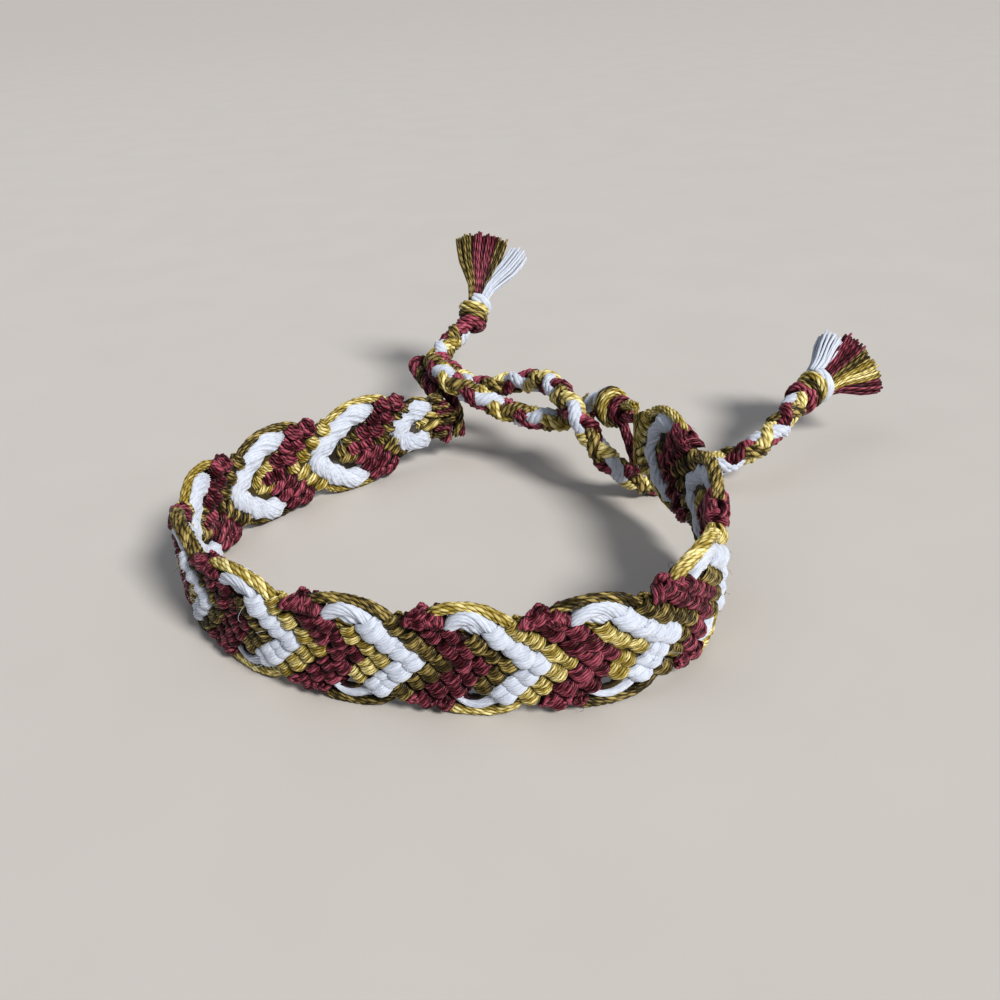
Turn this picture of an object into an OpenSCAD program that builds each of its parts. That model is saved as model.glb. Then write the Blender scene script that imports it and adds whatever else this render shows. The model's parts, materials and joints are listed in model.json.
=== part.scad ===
// Knotted floss bracelet: a chevron band on its edge, closed by two braided ties with tassels.
// The outer face of the band looks away from the wrist. Z is up, the table is at z = 0.

/* [Band] */
// Height of the knotted rows, without the scallops
knot_height = 9.8; // [8:0.1:11]
// How far each scallop of floss stands past the knotted rows
scallop = 0.9; // [0.5:0.05:1.1]
// Thickness of the band over a row of knots
band_thickness = 2.0; // [1.6:0.1:2.4]
// How far the point of each chevron runs ahead of its ends
chevron_lead = 4.2; // [3:0.1:5]
// Height of the knotted rows where the band begins
begin_height = 7.1; // [6:0.1:9]
// How much higher the band lies where it begins
begin_lift = 0.8; // [0:0.1:1.5]
// Height of the knotted rows where the band ends
finish_height = 8.4; // [7:0.1:9.6]
// How much higher the band lies where it ends, over the other tie
finish_lift = 4.0; // [3.5:0.1:4.5]

/* [Ties] */
// Diameter of a braided tie
tie_d = 2.4; // [2:0.1:2.5]
// Diameter of one strand bundle in the beginning loop
loop_strand_d = 1.1; // [0.9:0.05:1.2]
// Diameter of the strand that is wound into a stopper knot
knot_strand_d = 1.9; // [1.6:0.1:2]
// Length of a stopper knot along its tie
knot_length = 4.0; // [3.6:0.1:4.2]
// Diameter of one lock of a tassel at its cut end
lock_d = 1.6; // [1:0.1:1.8]

/* [Finish] */
// Diameter of the strands that gather into the finishing knot
gather_strand_d = 1.3; // [1:0.1:1.4]
// Diameter of the finishing knot
gather_knot_d = 3.0; // [2.6:0.1:3.2]

/* [Hidden] */

// The centre line of the band seen from above: equal arcs that turn left by these angles
arc_length = 12;
TURNS = [9, 9, 37, 43, 23, 21, 10, 28, 47, 34, 17];
line_origin = [-5.23, 13.72, 200.5];
origin_place = -8;

// One row a motif: its length along the band, and how far its lower ends run ahead of its upper ends
LENGTH = 0;
SKEW = 1;
MOTIFS = [
    [4.9, 0.0],
    [11.9, 2.0],
    [11.4, 2.0],
    [11.4, 1.0],
    [10.8, 1.1],
    [12.1, 0.3],
    [11.5, -0.4],
    [10.5, -0.2],
    [12.0, 1.2],
    [11.2, 2.4],
    [11.3, 0.9],
    [10.8, 0.0]
];
begin_place = -5.8;

MOTIF_BEGINS = [for (i = 0, place = begin_place; i < len(MOTIFS); place = place + MOTIFS[i][LENGTH], i = i + 1)
    place];
last_motif = len(MOTIFS) - 1;
finish_place = MOTIF_BEGINS[last_motif] + MOTIFS[last_motif][LENGTH];

// The band opens to its full height over its first stretch and narrows over its last
opening_run = 9;
closing_run = 7;

// The finish rises over this stretch
rise_begins = 88;
rise_ends = 122;

// One row a station of a motif: share of the length, share of the full thickness, 1 where an eyelet begins
SHARE = 0;
RELIEF = 1;
EYELET = 2;
STATIONS = [
    [0.00, 0.78, 0],
    [0.07, 1.00, 0],
    [0.14, 0.80, 0],
    [0.21, 1.00, 0],
    [0.30, 0.86, 1],
    [0.46, 0.92, 0],
    [0.57, 0.80, 0],
    [0.68, 1.00, 0],
    [0.78, 0.80, 0],
    [0.88, 1.00, 0]
];

// One row a level above the middle: share of the half height, share of the thickness
LEVELS = [[0, 1.0], [0.28, 0.98], [0.55, 0.92], [0.80, 0.88], [1.00, 0.62]];
eyelet_level = 2;

// The scallops span this part of each motif
scallop_begin = 0.26;
scallop_finish = 0.84;
middle_z = knot_height / 2 + scallop;

// Routes beside the centre line's own frame; everything is shifted together to the middle of the box
START_LOOP_ROUTE = [
    [-6.5, 13.5, 2.7], [-6.5, 13.6, 5.2], [-6.8, 14.1, 7.5], [-7.7, 16.2, 8.7], [-8.9, 19.4, 9.1],
    [-9.9, 22.4, 9.3], [-10.3, 24.8, 9.3], [-9.7, 26.1, 9.2], [-8.8, 25.5, 9.1], [-8.3, 23.4, 9.1],
    [-7.5, 20.4, 9.0], [-6.5, 17.3, 8.9], [-5.3, 15.1, 8.1], [-4.8, 14.3, 5.8], [-4.8, 14.1, 3.1]
];
TIE_START_ROUTE = [
    [-7.0, 26.0, 8.6], [-5.6, 24.0, 8.3], [-4.4, 21.4, 8.1], [-2.6, 18.9, 8.1], [-0.2, 17.4, 8.9],
    [2.4, 16.2, 10.0], [5.0, 14.2, 10.8], [7.0, 10.4, 11.2], [8.3, 6.0, 11.3], [9.2, 2.8, 10.9],
    [10.3, 1.0, 9.6], [11.4, -0.3, 7.7], [12.8, -1.2, 5.8], [14.8, -0.8, 3.8], [17.0, -0.1, 2.1],
    [19.2, 0.4, 1.3], [21.7, 1.2, 1.6], [24.1, 1.3, 2.5], [26.3, 1.1, 3.3], [28.4, 0.8, 4.1],
    [30.8, 1.2, 5.1], [33.3, 2.8, 6.3], [35.6, 5.0, 7.4], [37.6, 7.1, 8.2]
];
TIE_END_ROUTE = [
    [13.8, 2.3, 11.3], [12.6, 4.2, 10.7], [11.2, 5.6, 9.7], [9.6, 6.0, 8.6], [7.6, 6.0, 7.8],
    [4.4, 7.4, 7.5], [0.8, 9.4, 8.1], [-2.2, 10.9, 9.7], [-4.2, 12.0, 10.9], [-5.6, 14.0, 11.3],
    [-6.7, 16.8, 11.4], [-7.1, 19.4, 11.5], [-6.4, 21.8, 11.8], [-5.2, 24.0, 12.4], [-3.3, 26.5, 13.4]
];
rings_per_step = 2;
tie_sides = 8;

// Middle and direction of each stopper knot: towards the tassel
KNOT_START_AT = [39.0, 8.5, 8.5];
KNOT_START_DIR = [0.72, 0.68, 0.14];
KNOT_END_AT = [-1.9, 28.4, 14.6];
KNOT_END_DIR = [0.25, 0.75, 0.60];

// Cut ends of the tassels' locks
TASSEL_START_TIPS = [
    [43.1, 14.1, 12.9], [45.0, 15.4, 12.4], [46.5, 14.9, 11.7], [47.8, 14.2, 10.5], [48.4, 13.0, 9.3],
    [48.4, 11.6, 8.1], [47.4, 16.4, 8.6], [47.8, 14.6, 7.6]
];
TASSEL_END_TIPS = [
    [-2.7, 37.8, 22.5], [-1.5, 36.8, 23.1], [-0.1, 36.2, 23.3], [1.3, 36.3, 22.9], [2.7, 36.6, 22.3],
    [-1.2, 38.0, 21.5], [0.8, 37.6, 21.3], [5.0, 36.5, 20.3]
];

// Floss colours
burgundy = [0.43, 0.14, 0.24];
white = [0.88, 0.89, 0.94];
gold = [0.67, 0.55, 0.16];
olive = [0.37, 0.30, 0.10];

// Places along the centre line
function step_arc(p, run, rate) =
    let (radius = 180 / (PI * rate), heading = p[2] + rate * run)
    [p[0] + radius * (sin(heading) - sin(p[2])), p[1] - radius * (cos(heading) - cos(p[2])), heading];
function rate_of(i) = TURNS[i] / arc_length;
function arc_origin(i) = i == 0 ? line_origin : step_arc(arc_origin(i - 1), arc_length, rate_of(i - 1));
ARC_ORIGINS = [for (i = [0:len(TURNS) - 1]) arc_origin(i)];
function centre_line(place) =
    let (run = place - origin_place, i = max(0, min(len(TURNS) - 1, floor(run / arc_length))))
    step_arc(ARC_ORIGINS[i], run - i * arc_length, rate_of(i));

// Eased from 0 at one place to 1 at the other
function ease(place, from, to) =
    let (u = max(0, min(1, (place - from) / (to - from))))
    u * u * (3 - 2 * u);
function opening_at(place) = ease(place, begin_place, begin_place + opening_run);
function closing_at(place) = ease(place, finish_place - closing_run, finish_place);
function lift_at(place) =
    begin_lift * (1 - opening_at(place)) + finish_lift * ease(place, rise_begins, rise_ends);
function half_height(place) =
    let (opened = begin_height + (knot_height - begin_height) * opening_at(place))
    (opened - (knot_height - finish_height) * closing_at(place)) / 2;

// Lead of the chevron: none at the straight first edge and at the straight last edge
function lead_at(i, share) =
    i == 0 ? chevron_lead * share : i == last_motif ? chevron_lead * (1 - share) : chevron_lead;
function skew_at(i, share) =
    let (next = i < last_motif ? MOTIFS[i + 1][SKEW] : 0)
    MOTIFS[i][SKEW] * (1 - share) + next * share;

// The band is a grid of columns along it and levels across it
COLUMNS = concat(
    [for (i = [0:last_motif]) for (s = STATIONS) [i, s[SHARE], s[RELIEF], s[EYELET]]],
    [[last_motif, 1, STATIONS[0][RELIEF], 0]]);
level_top = len(LEVELS) - 1;
ROWS = [for (k = [-level_top:level_top]) k];
function bulge(share) =
    share < scallop_begin || share > scallop_finish ? 0
    : scallop * sin(180 * (share - scallop_begin) / (scallop_finish - scallop_begin));
function band_point(column, k, side) =
    let (
        motif = column[0],
        share = column[1],
        level = LEVELS[abs(k)],
        w = sign(k) * level[0],
        lead = lead_at(motif, share) * (1 - abs(w)),
        place = MOTIF_BEGINS[motif] + share * MOTIFS[motif][LENGTH] + lead - skew_at(motif, share) * w / 2,
        c = centre_line(place),
        rim = abs(k) == level_top ? sign(k) * bulge(share) : 0,
        out = side * column[2] * level[1] * band_thickness / 2
    )
    [c[0] + out * sin(c[2]), c[1] - out * cos(c[2]), middle_z + lift_at(place) + w * half_height(place) + rim];
function is_eyelet(j, r) =
    let (k = ROWS[r])
    COLUMNS[j][3] == 1 && (k == eyelet_level || k == -eyelet_level - 1);
function is_cell(j, r) =
    j >= 0 && j < len(COLUMNS) - 1 && r >= 0 && r < len(ROWS) - 1 && !is_eyelet(j, r);
function index_of(j, r, back) = (j * len(ROWS) + r) * 2 + back;
function two_triangles(a, b, c, d) = [[a, b, c], [a, c, d]];
function wall(j1, r1, j2, r2) =
    two_triangles(index_of(j2, r2, 0), index_of(j1, r1, 0), index_of(j1, r1, 1), index_of(j2, r2, 1));
function cell_faces(j, r) = concat(
    two_triangles(index_of(j, r, 0), index_of(j, r + 1, 0), index_of(j + 1, r + 1, 0), index_of(j + 1, r, 0)),
    two_triangles(index_of(j, r, 1), index_of(j + 1, r, 1), index_of(j + 1, r + 1, 1), index_of(j, r + 1, 1)),
    is_cell(j - 1, r) ? [] : wall(j, r, j, r + 1),
    is_cell(j, r + 1) ? [] : wall(j, r + 1, j + 1, r + 1),
    is_cell(j + 1, r) ? [] : wall(j + 1, r + 1, j + 1, r),
    is_cell(j, r - 1) ? [] : wall(j + 1, r, j, r));
BAND_POINTS = [for (column = COLUMNS) for (k = ROWS) for (side = [1, -1]) band_point(column, k, side)];
BAND_FACES = [for (j = [0:len(COLUMNS) - 2]) for (r = [0:len(ROWS) - 2]) if (is_cell(j, r))
    each cell_faces(j, r)];

// Middle of the box round the band, its loop and its finishing knot
BOX_XS = [for (p = BAND_POINTS) p[0]];
BOX_YS = concat([for (p = BAND_POINTS) p[1]], [for (p = START_LOOP_ROUTE) p[1] + loop_strand_d / 2]);
box_middle = [(min(BOX_XS) + max(BOX_XS)) / 2, (min(BOX_YS) + max(BOX_YS)) / 2, 0];

// A smooth curve through a route's points, with more points between them
function between(a, b, c, d, u) =
    (2 * b + (c - a) * u + (2 * a - 5 * b + 4 * c - d) * u * u + (3 * b - 3 * c + d - a) * u * u * u) / 2;
function smooth(route, parts) =
    let (last = len(route) - 1)
    concat(
        [for (i = [0:last - 1]) for (m = [0:parts - 1])
            between(
                i == 0 ? 2 * route[0] - route[1] : route[i - 1],
                route[i],
                route[i + 1],
                i + 1 == last ? 2 * route[last] - route[last - 1] : route[i + 2],
                m / parts)],
        [route[last]]);
function unit(v) = v / norm(v);
function across(direction, reference) = unit(reference - direction * (reference * direction));

// Sides of the rings, each turned as little as possible from the one before
function ring_sides(path, directions) =
    [for (i = 0, side = across(directions[0], [0, 0, 1]); i < len(path);
        i = i + 1, side = i < len(path) ? across(directions[i], side) : side) side];

// A round tube along a path
module tube(path, d, sides) {
    last = len(path) - 1;
    directions = [for (i = [0:last]) unit(path[min(i + 1, last)] - path[max(i - 1, 0)])];
    firsts = ring_sides(path, directions);
    points = [for (i = [0:last]) for (n = [0:sides - 1])
        let (angle = 360 * n / sides, second = cross(directions[i], firsts[i]))
        path[i] + d / 2 * (cos(angle) * firsts[i] + sin(angle) * second)];
    skin = [for (i = [0:last - 1]) for (n = [0:sides - 1])
        let (a = i * sides + n, b = i * sides + (n + 1) % sides)
        each [[a, a + sides, b], [b, a + sides, b + sides]]];
    first_cap = [for (n = [1:sides - 2]) [0, n, n + 1]];
    last_cap = [for (n = [1:sides - 2]) [last * sides, last * sides + n + 1, last * sides + n]];
    polyhedron(points = points, faces = concat(skin, first_cap, last_cap), convexity = 10);
}

// A soft strand along a path: blended balls, with a diameter at each point
module strand(path, diameters) {
    for (i = [0:len(path) - 2]) {
        hull() {
            translate(path[i])
                sphere(d = diameters[i], $fn = 8);
            translate(path[i + 1])
                sphere(d = diameters[i + 1], $fn = 8);
        }
    }
}

// A stopper knot: two turns of the tie wound round its own core
module stopper_knot(at, direction) {
    turns = 2;
    steps = 16;
    core_d = 2.8;
    turn_r = 1.25;
    wound_length = knot_length - knot_strand_d;
    along = unit(direction);
    side = across(along, [0, 0, 1]);
    second = cross(along, side);
    coil = [for (i = [0:steps])
        let (angle = 360 * turns * i / steps)
        at + along * wound_length * (i / steps - 0.5) + turn_r * (cos(angle) * side + sin(angle) * second)];
    strand(coil, [for (i = [0:steps]) knot_strand_d]);
    core_reach = (knot_length - core_d) / 2;
    strand([at - along * core_reach, at + along * core_reach], [core_d, core_d]);
}

// A tassel: locks of cut floss that spread from one head at the knot
module tassel(at, direction, tips) {
    head_d = 1.6;
    knot_gap = 0.15;
    root_d = 1.0;
    bend_share = 0.4;
    along = unit(direction);
    head = at + along * (knot_length / 2 + head_d / 2 + knot_gap);
    for (tip = tips) {
        first_heading = unit(along + unit(tip - head));
        bend = head + first_heading * norm(tip - head) * bend_share;
        strand([head, bend, tip], [root_d, lock_d, lock_d]);
    }
    translate(head)
        sphere(d = head_d, $fn = 10);
}

module band() {
    color(burgundy)
        translate(-box_middle)
            polyhedron(points = BAND_POINTS, faces = BAND_FACES, convexity = 10);
}

module start_loop() {
    color(burgundy)
        translate(-box_middle)
            tube(smooth(START_LOOP_ROUTE, 2), loop_strand_d, tie_sides);
}

// The last strings run beside the end of the band and gather into a fat finishing knot
module end_wrap() {
    beside_end = 0.2;
    edge = centre_line(finish_place + beside_end + gather_strand_d / 2);
    edge_z = middle_z + finish_lift;
    edge_reach = finish_height / 2 - gather_strand_d / 2;
    knot_top = [14.6, 1.2, 12.6];
    knot_foot = [14.6, 0.6, 11.0];
    upper = [edge[0], edge[1], edge_z + edge_reach];
    lower = [edge[0], edge[1], edge_z - edge_reach];
    strand_ds = [for (i = [0:5]) gather_strand_d];
    color(gold)
        translate(-box_middle) {
            strand([knot_top, knot_foot], [gather_knot_d, gather_knot_d]);
            strand([knot_top, (knot_top + upper) / 2 + [0, 0, 0.3], upper], strand_ds);
            strand([upper, [edge[0], edge[1], edge_z + 1.5], [edge[0], edge[1], edge_z - 1.2], lower], strand_ds);
            strand([knot_foot, [15.0, -1.3, 9.6], [15.3, -2.6, 7.6], lower], strand_ds);
        }
}

module tie_start() {
    color(olive)
        translate(-box_middle)
            tube(smooth(TIE_START_ROUTE, rings_per_step), tie_d, tie_sides);
}

module tie_end() {
    color(olive)
        translate(-box_middle)
            tube(smooth(TIE_END_ROUTE, rings_per_step), tie_d, tie_sides);
}

module stopper_knot_start() {
    color(white)
        translate(-box_middle)
            stopper_knot(KNOT_START_AT, KNOT_START_DIR);
}

module stopper_knot_end() {
    color(gold)
        translate(-box_middle)
            stopper_knot(KNOT_END_AT, KNOT_END_DIR);
}

module tassel_start() {
    color(burgundy)
        translate(-box_middle)
            tassel(KNOT_START_AT, KNOT_START_DIR, TASSEL_START_TIPS);
}

module tassel_end() {
    color(burgundy)
        translate(-box_middle)
            tassel(KNOT_END_AT, KNOT_END_DIR, TASSEL_END_TIPS);
}

band();
start_loop();
end_wrap();
tie_start();
tie_end();
stopper_knot_start();
stopper_knot_end();
tassel_start();
tassel_end();
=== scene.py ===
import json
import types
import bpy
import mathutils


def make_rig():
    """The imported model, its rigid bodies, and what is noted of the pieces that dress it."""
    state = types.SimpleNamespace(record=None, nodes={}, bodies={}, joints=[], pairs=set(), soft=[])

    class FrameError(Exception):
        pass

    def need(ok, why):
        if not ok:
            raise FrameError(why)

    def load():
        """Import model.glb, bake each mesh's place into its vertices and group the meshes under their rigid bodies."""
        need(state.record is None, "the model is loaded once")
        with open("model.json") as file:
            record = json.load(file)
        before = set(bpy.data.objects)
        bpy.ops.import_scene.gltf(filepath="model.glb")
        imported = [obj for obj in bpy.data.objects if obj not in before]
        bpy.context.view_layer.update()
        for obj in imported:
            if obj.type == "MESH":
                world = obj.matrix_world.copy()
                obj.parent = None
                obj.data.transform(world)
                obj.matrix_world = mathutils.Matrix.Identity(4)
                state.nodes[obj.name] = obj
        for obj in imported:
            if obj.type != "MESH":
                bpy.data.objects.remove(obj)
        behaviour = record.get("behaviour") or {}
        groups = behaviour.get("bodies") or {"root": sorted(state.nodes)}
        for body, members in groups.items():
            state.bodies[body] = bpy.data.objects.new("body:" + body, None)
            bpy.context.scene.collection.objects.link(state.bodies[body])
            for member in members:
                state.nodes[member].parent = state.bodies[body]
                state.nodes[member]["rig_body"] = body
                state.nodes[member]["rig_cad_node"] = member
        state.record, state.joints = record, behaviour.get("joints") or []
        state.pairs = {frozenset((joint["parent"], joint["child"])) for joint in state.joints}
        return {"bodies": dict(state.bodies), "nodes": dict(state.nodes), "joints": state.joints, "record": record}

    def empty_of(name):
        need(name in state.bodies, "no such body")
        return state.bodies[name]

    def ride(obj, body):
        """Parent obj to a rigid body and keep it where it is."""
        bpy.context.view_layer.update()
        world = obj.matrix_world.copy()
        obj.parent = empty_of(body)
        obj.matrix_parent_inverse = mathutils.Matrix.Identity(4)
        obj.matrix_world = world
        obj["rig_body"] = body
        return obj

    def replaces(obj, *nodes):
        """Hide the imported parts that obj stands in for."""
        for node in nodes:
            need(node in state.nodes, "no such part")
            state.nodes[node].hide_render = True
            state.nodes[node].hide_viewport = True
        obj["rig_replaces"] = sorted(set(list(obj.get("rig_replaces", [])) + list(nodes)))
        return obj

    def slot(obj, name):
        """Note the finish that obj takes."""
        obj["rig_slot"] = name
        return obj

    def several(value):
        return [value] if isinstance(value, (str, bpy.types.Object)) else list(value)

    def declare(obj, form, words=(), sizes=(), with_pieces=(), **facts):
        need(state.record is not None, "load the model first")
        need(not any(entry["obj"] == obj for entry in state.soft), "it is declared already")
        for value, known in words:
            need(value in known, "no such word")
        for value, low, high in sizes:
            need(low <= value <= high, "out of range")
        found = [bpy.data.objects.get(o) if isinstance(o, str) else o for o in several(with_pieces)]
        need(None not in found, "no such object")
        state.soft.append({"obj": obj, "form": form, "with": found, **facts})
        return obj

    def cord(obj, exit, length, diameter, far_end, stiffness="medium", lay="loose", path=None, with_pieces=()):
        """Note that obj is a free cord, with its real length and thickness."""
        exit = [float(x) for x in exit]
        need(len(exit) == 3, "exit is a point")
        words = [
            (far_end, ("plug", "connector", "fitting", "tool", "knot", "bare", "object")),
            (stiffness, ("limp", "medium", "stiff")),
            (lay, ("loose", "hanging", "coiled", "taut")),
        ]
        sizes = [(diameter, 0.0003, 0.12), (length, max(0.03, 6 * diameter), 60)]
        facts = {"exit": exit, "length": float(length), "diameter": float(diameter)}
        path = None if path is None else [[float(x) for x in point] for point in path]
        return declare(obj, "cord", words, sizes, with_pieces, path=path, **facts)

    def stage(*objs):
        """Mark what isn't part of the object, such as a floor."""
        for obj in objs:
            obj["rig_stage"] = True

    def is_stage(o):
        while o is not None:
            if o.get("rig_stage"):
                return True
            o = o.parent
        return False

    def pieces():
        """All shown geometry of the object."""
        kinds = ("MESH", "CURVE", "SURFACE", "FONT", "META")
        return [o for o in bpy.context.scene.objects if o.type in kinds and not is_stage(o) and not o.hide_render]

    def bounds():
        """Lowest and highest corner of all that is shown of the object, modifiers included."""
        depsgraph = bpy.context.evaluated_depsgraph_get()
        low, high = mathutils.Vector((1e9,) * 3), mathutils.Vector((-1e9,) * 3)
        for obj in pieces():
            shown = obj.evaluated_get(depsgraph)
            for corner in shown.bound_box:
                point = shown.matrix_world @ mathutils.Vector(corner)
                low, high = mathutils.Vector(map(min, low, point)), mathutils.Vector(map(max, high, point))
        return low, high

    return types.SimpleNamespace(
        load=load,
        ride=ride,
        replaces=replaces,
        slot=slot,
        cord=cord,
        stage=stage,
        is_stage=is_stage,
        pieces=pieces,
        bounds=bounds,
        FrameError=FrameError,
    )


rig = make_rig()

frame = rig.load()

import json
import math
import random

import bmesh
import bpy
import numpy as np
from mathutils import Matrix, Vector

cad_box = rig.bounds()
rng = random.Random(7)
MM = 0.001

# Floss colours, in the order of each piece's finishes
BURGUNDY, WHITE, GOLD, OLIVE = range(4)
COLOUR_NAMES = ("burgundy", "white", "gold", "olive")

# The band as the part has it, in millimetres and degrees: the middle of the part's box,
# the turn of each arc of the centre line, and the place and heading where the first one begins
BOX_MIDDLE = np.array([-6.148, -5.729, 0.0])
ARC_LENGTH = 12.0
TURNS = (9, 9, 37, 43, 23, 21, 10, 28, 47, 34, 17)
LINE_ORIGIN = (-5.23, 13.72, 200.5)
ORIGIN_PLACE = -8.0

# Each motif's length and how far it leans, from the beginning of the band to its end
MOTIFS = (
    (4.9, 0.0), (11.9, 2.0), (11.4, 2.0), (11.4, 1.0), (10.8, 1.1), (12.1, 0.3),
    (11.5, -0.4), (10.5, -0.2), (12.0, 1.2), (11.2, 2.4), (11.3, 0.9), (10.8, 0.0),
)

# The band's ends: where the band begins, the runs over which its ends are drawn in, their heights,
# how far they are raised, and where the rise of the far end begins and ends
BEGIN_PLACE = -5.8
OPENING_RUN = 9.0
CLOSING_RUN = 7.0
BEGIN_HEIGHT = 7.1
FINISH_HEIGHT = 8.4
BEGIN_LIFT = 0.8
FINISH_LIFT = 4.0
RISE_BEGINS = 88.0
RISE_ENDS = 122.0
MIDDLE_Z = 5.8

# One full motif: its length, half its height and the lead of its point.
# The pattern of the first one begins later, because it is cut short.
PITCH = 10.8
HALF = 4.9
LEAD = 4.2
FIRST_MOTIF_FROM = 4.4
LAST_MOTIF = len(MOTIFS) - 1

# Routes of the loop and the ties, close to the part's own
START_LOOP_ROUTE = (
    (-6.5, 13.5, 2.7), (-6.5, 13.6, 5.2), (-6.8, 14.1, 7.5), (-7.7, 16.2, 8.7), (-8.9, 19.4, 9.1),
    (-9.9, 22.4, 9.3), (-10.3, 24.8, 9.3), (-9.7, 26.1, 9.2), (-8.8, 25.5, 9.1), (-8.3, 23.4, 9.1),
    (-7.5, 20.4, 9.0), (-6.5, 17.3, 8.9), (-5.3, 15.1, 8.1), (-4.8, 14.3, 5.8), (-4.8, 14.1, 3.1),
)
TIE_START_ROUTE = (
    (-7.0, 26.0, 8.6), (-5.6, 24.0, 8.3), (-4.4, 21.4, 8.1), (-2.6, 18.9, 8.1), (-0.2, 16.9, 8.4),
    (2.4, 15.5, 9.4), (5.0, 13.6, 10.3), (7.0, 10.4, 11.2), (8.3, 6.0, 11.3), (9.2, 2.8, 10.9),
    (10.3, 1.0, 9.6), (11.4, -0.3, 7.7), (12.8, -1.2, 5.8), (14.8, -0.8, 3.8), (17.0, -0.1, 2.1),
    (19.2, 0.4, 1.3), (21.7, 1.2, 1.6), (24.1, 1.3, 2.5), (26.3, 1.1, 3.3), (28.4, 0.8, 4.1),
    (30.8, 1.2, 5.1), (33.3, 2.8, 6.3), (35.6, 5.0, 7.4), (37.6, 7.1, 8.2),
)
TIE_END_ROUTE = (
    (13.8, 2.3, 11.3), (12.6, 4.2, 10.7), (11.2, 5.6, 9.7), (9.6, 6.0, 8.6), (7.6, 6.2, 8.0),
    (4.4, 7.9, 7.9), (0.8, 10.0, 8.5), (-2.2, 11.2, 9.9), (-4.2, 12.0, 10.9), (-5.6, 14.0, 11.3),
    (-6.7, 16.8, 11.4), (-7.1, 19.4, 11.5), (-6.4, 21.8, 11.8), (-5.2, 24.0, 12.4), (-3.3, 26.5, 13.4),
)
TIE_D = 2.4
KNOT_START_AT = (39.0, 8.5, 8.5)
KNOT_START_DIR = (0.72, 0.68, 0.14)
KNOT_END_AT = (-1.9, 28.4, 14.6)
KNOT_END_DIR = (0.25, 0.75, 0.60)

# The turns of each stopper knot:
# colour, place along the knot, half width, tilt, angle where it begins, how often it goes round
STOPPER_START = (
    (BURGUNDY, -1.9, 0.80, 0.35, 0.4, 1.25), (OLIVE, -0.8, 0.84, -0.45, 2.2, 1.25),
    (GOLD, 0.35, 0.86, 0.50, 4.0, 1.25), (WHITE, 1.55, 1.00, 0.15, 1.2, 1.25),
)
STOPPER_END = (
    (BURGUNDY, -1.6, 0.82, -0.35, 0.9, 1.25), (OLIVE, -0.4, 0.78, -0.45, 2.9, 1.25),
    (GOLD, 0.9, 0.86, -0.55, 4.4, 1.1), (WHITE, 1.45, 0.98, 0.0, -1.3, 0.42),
)

# Each tassel: how far the roots of its locks spread, and each lock's cut end and colour
TASSEL_START_SPREAD = 1.6
TASSEL_END_SPREAD = 0.6
TASSEL_START = (
    ((43.1, 14.1, 12.9), WHITE), ((45.9, 14.9, 12.2), BURGUNDY), ((46.7, 14.5, 11.5), BURGUNDY),
    ((47.5, 14.0, 10.5), OLIVE), ((48.2, 13.1, 9.5), GOLD), ((48.5, 12.1, 8.6), GOLD),
    ((48.4, 11.0, 7.6), BURGUNDY), ((47.4, 16.4, 8.6), BURGUNDY), ((47.8, 14.6, 7.6), OLIVE),
    ((46.3, 14.6, 9.9), GOLD),
)
TASSEL_END = (
    ((-2.7, 37.8, 22.5), OLIVE), ((-1.5, 36.8, 23.1), OLIVE), ((-0.1, 36.2, 23.3), BURGUNDY),
    ((1.3, 36.3, 22.9), BURGUNDY), ((2.7, 36.6, 22.3), OLIVE), ((-1.2, 38.0, 21.5), OLIVE),
    ((0.8, 37.6, 21.3), BURGUNDY), ((5.0, 36.5, 20.3), WHITE), ((0.6, 36.2, 21.8), OLIVE),
)


# Curves through points

def smooth(route, parts):
    """Points on a smooth curve through a route, with parts steps between two of its points."""
    p = np.array(route, float)
    p = np.vstack([2 * p[0] - p[1], p, 2 * p[-1] - p[-2]])
    points = []
    for i in range(1, len(p) - 2):
        a, b, c, d = p[i - 1:i + 3]
        for u in np.arange(parts) / parts:
            bend = (2 * a - 5 * b + 4 * c - d) * u * u + (3 * b - 3 * c + d - a) * u ** 3
            points.append((2 * b + (c - a) * u + bend) / 2)
    points.append(p[-2])
    return np.array(points)


def run_along(path):
    """How far each point lies along a path."""
    steps = np.linalg.norm(np.diff(path, axis=0), axis=1)
    return np.concatenate([[0], np.cumsum(steps)])


def evened(path, step):
    """The same path with its points a step apart."""
    run = run_along(path)
    count = max(3, int(round(run[-1] / step)) + 1)
    at = np.linspace(0, run[-1], count)
    return np.stack([np.interp(at, run, path[:, k]) for k in range(3)], axis=1)


def unit(vector):
    return vector / np.linalg.norm(vector)


def axes_round(direction):
    """A direction at length one, with a level one across it and one that points up from both."""
    along = unit(np.array(direction))
    side = unit(np.cross(along, (0, 0, 1)))
    return along, side, np.cross(side, along)


def sides_of(path, reference=(0, 0, 1)):
    """Two directions across a path at each point, turned as little as possible along it."""
    ahead = np.gradient(path, axis=0)
    ahead /= np.linalg.norm(ahead, axis=1)[:, None]
    side = np.array(reference, float)
    firsts = []
    for direction in ahead:
        side = unit(side - direction * (side @ direction))
        firsts.append(side)
    firsts = np.array(firsts)
    return firsts, np.cross(ahead, firsts)


# Places on the band

def step_arc(start, run, rate):
    """Where an arc ends: its place and heading, from those of its start and its turn per millimetre."""
    radius = 180 / (math.pi * rate)
    heading = start[2] + rate * run
    a, b = math.radians(heading), math.radians(start[2])
    return (
        start[0] + radius * (math.sin(a) - math.sin(b)),
        start[1] - radius * (math.cos(a) - math.cos(b)),
        heading,
    )


ARC_STARTS = [LINE_ORIGIN]
for turn in TURNS[:-1]:
    ARC_STARTS.append(step_arc(ARC_STARTS[-1], ARC_LENGTH, turn / ARC_LENGTH))
MOTIF_BEGINS = [BEGIN_PLACE + sum(m[0] for m in MOTIFS[:i]) for i in range(len(MOTIFS) + 1)]
FINISH_PLACE = MOTIF_BEGINS[-1]


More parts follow.
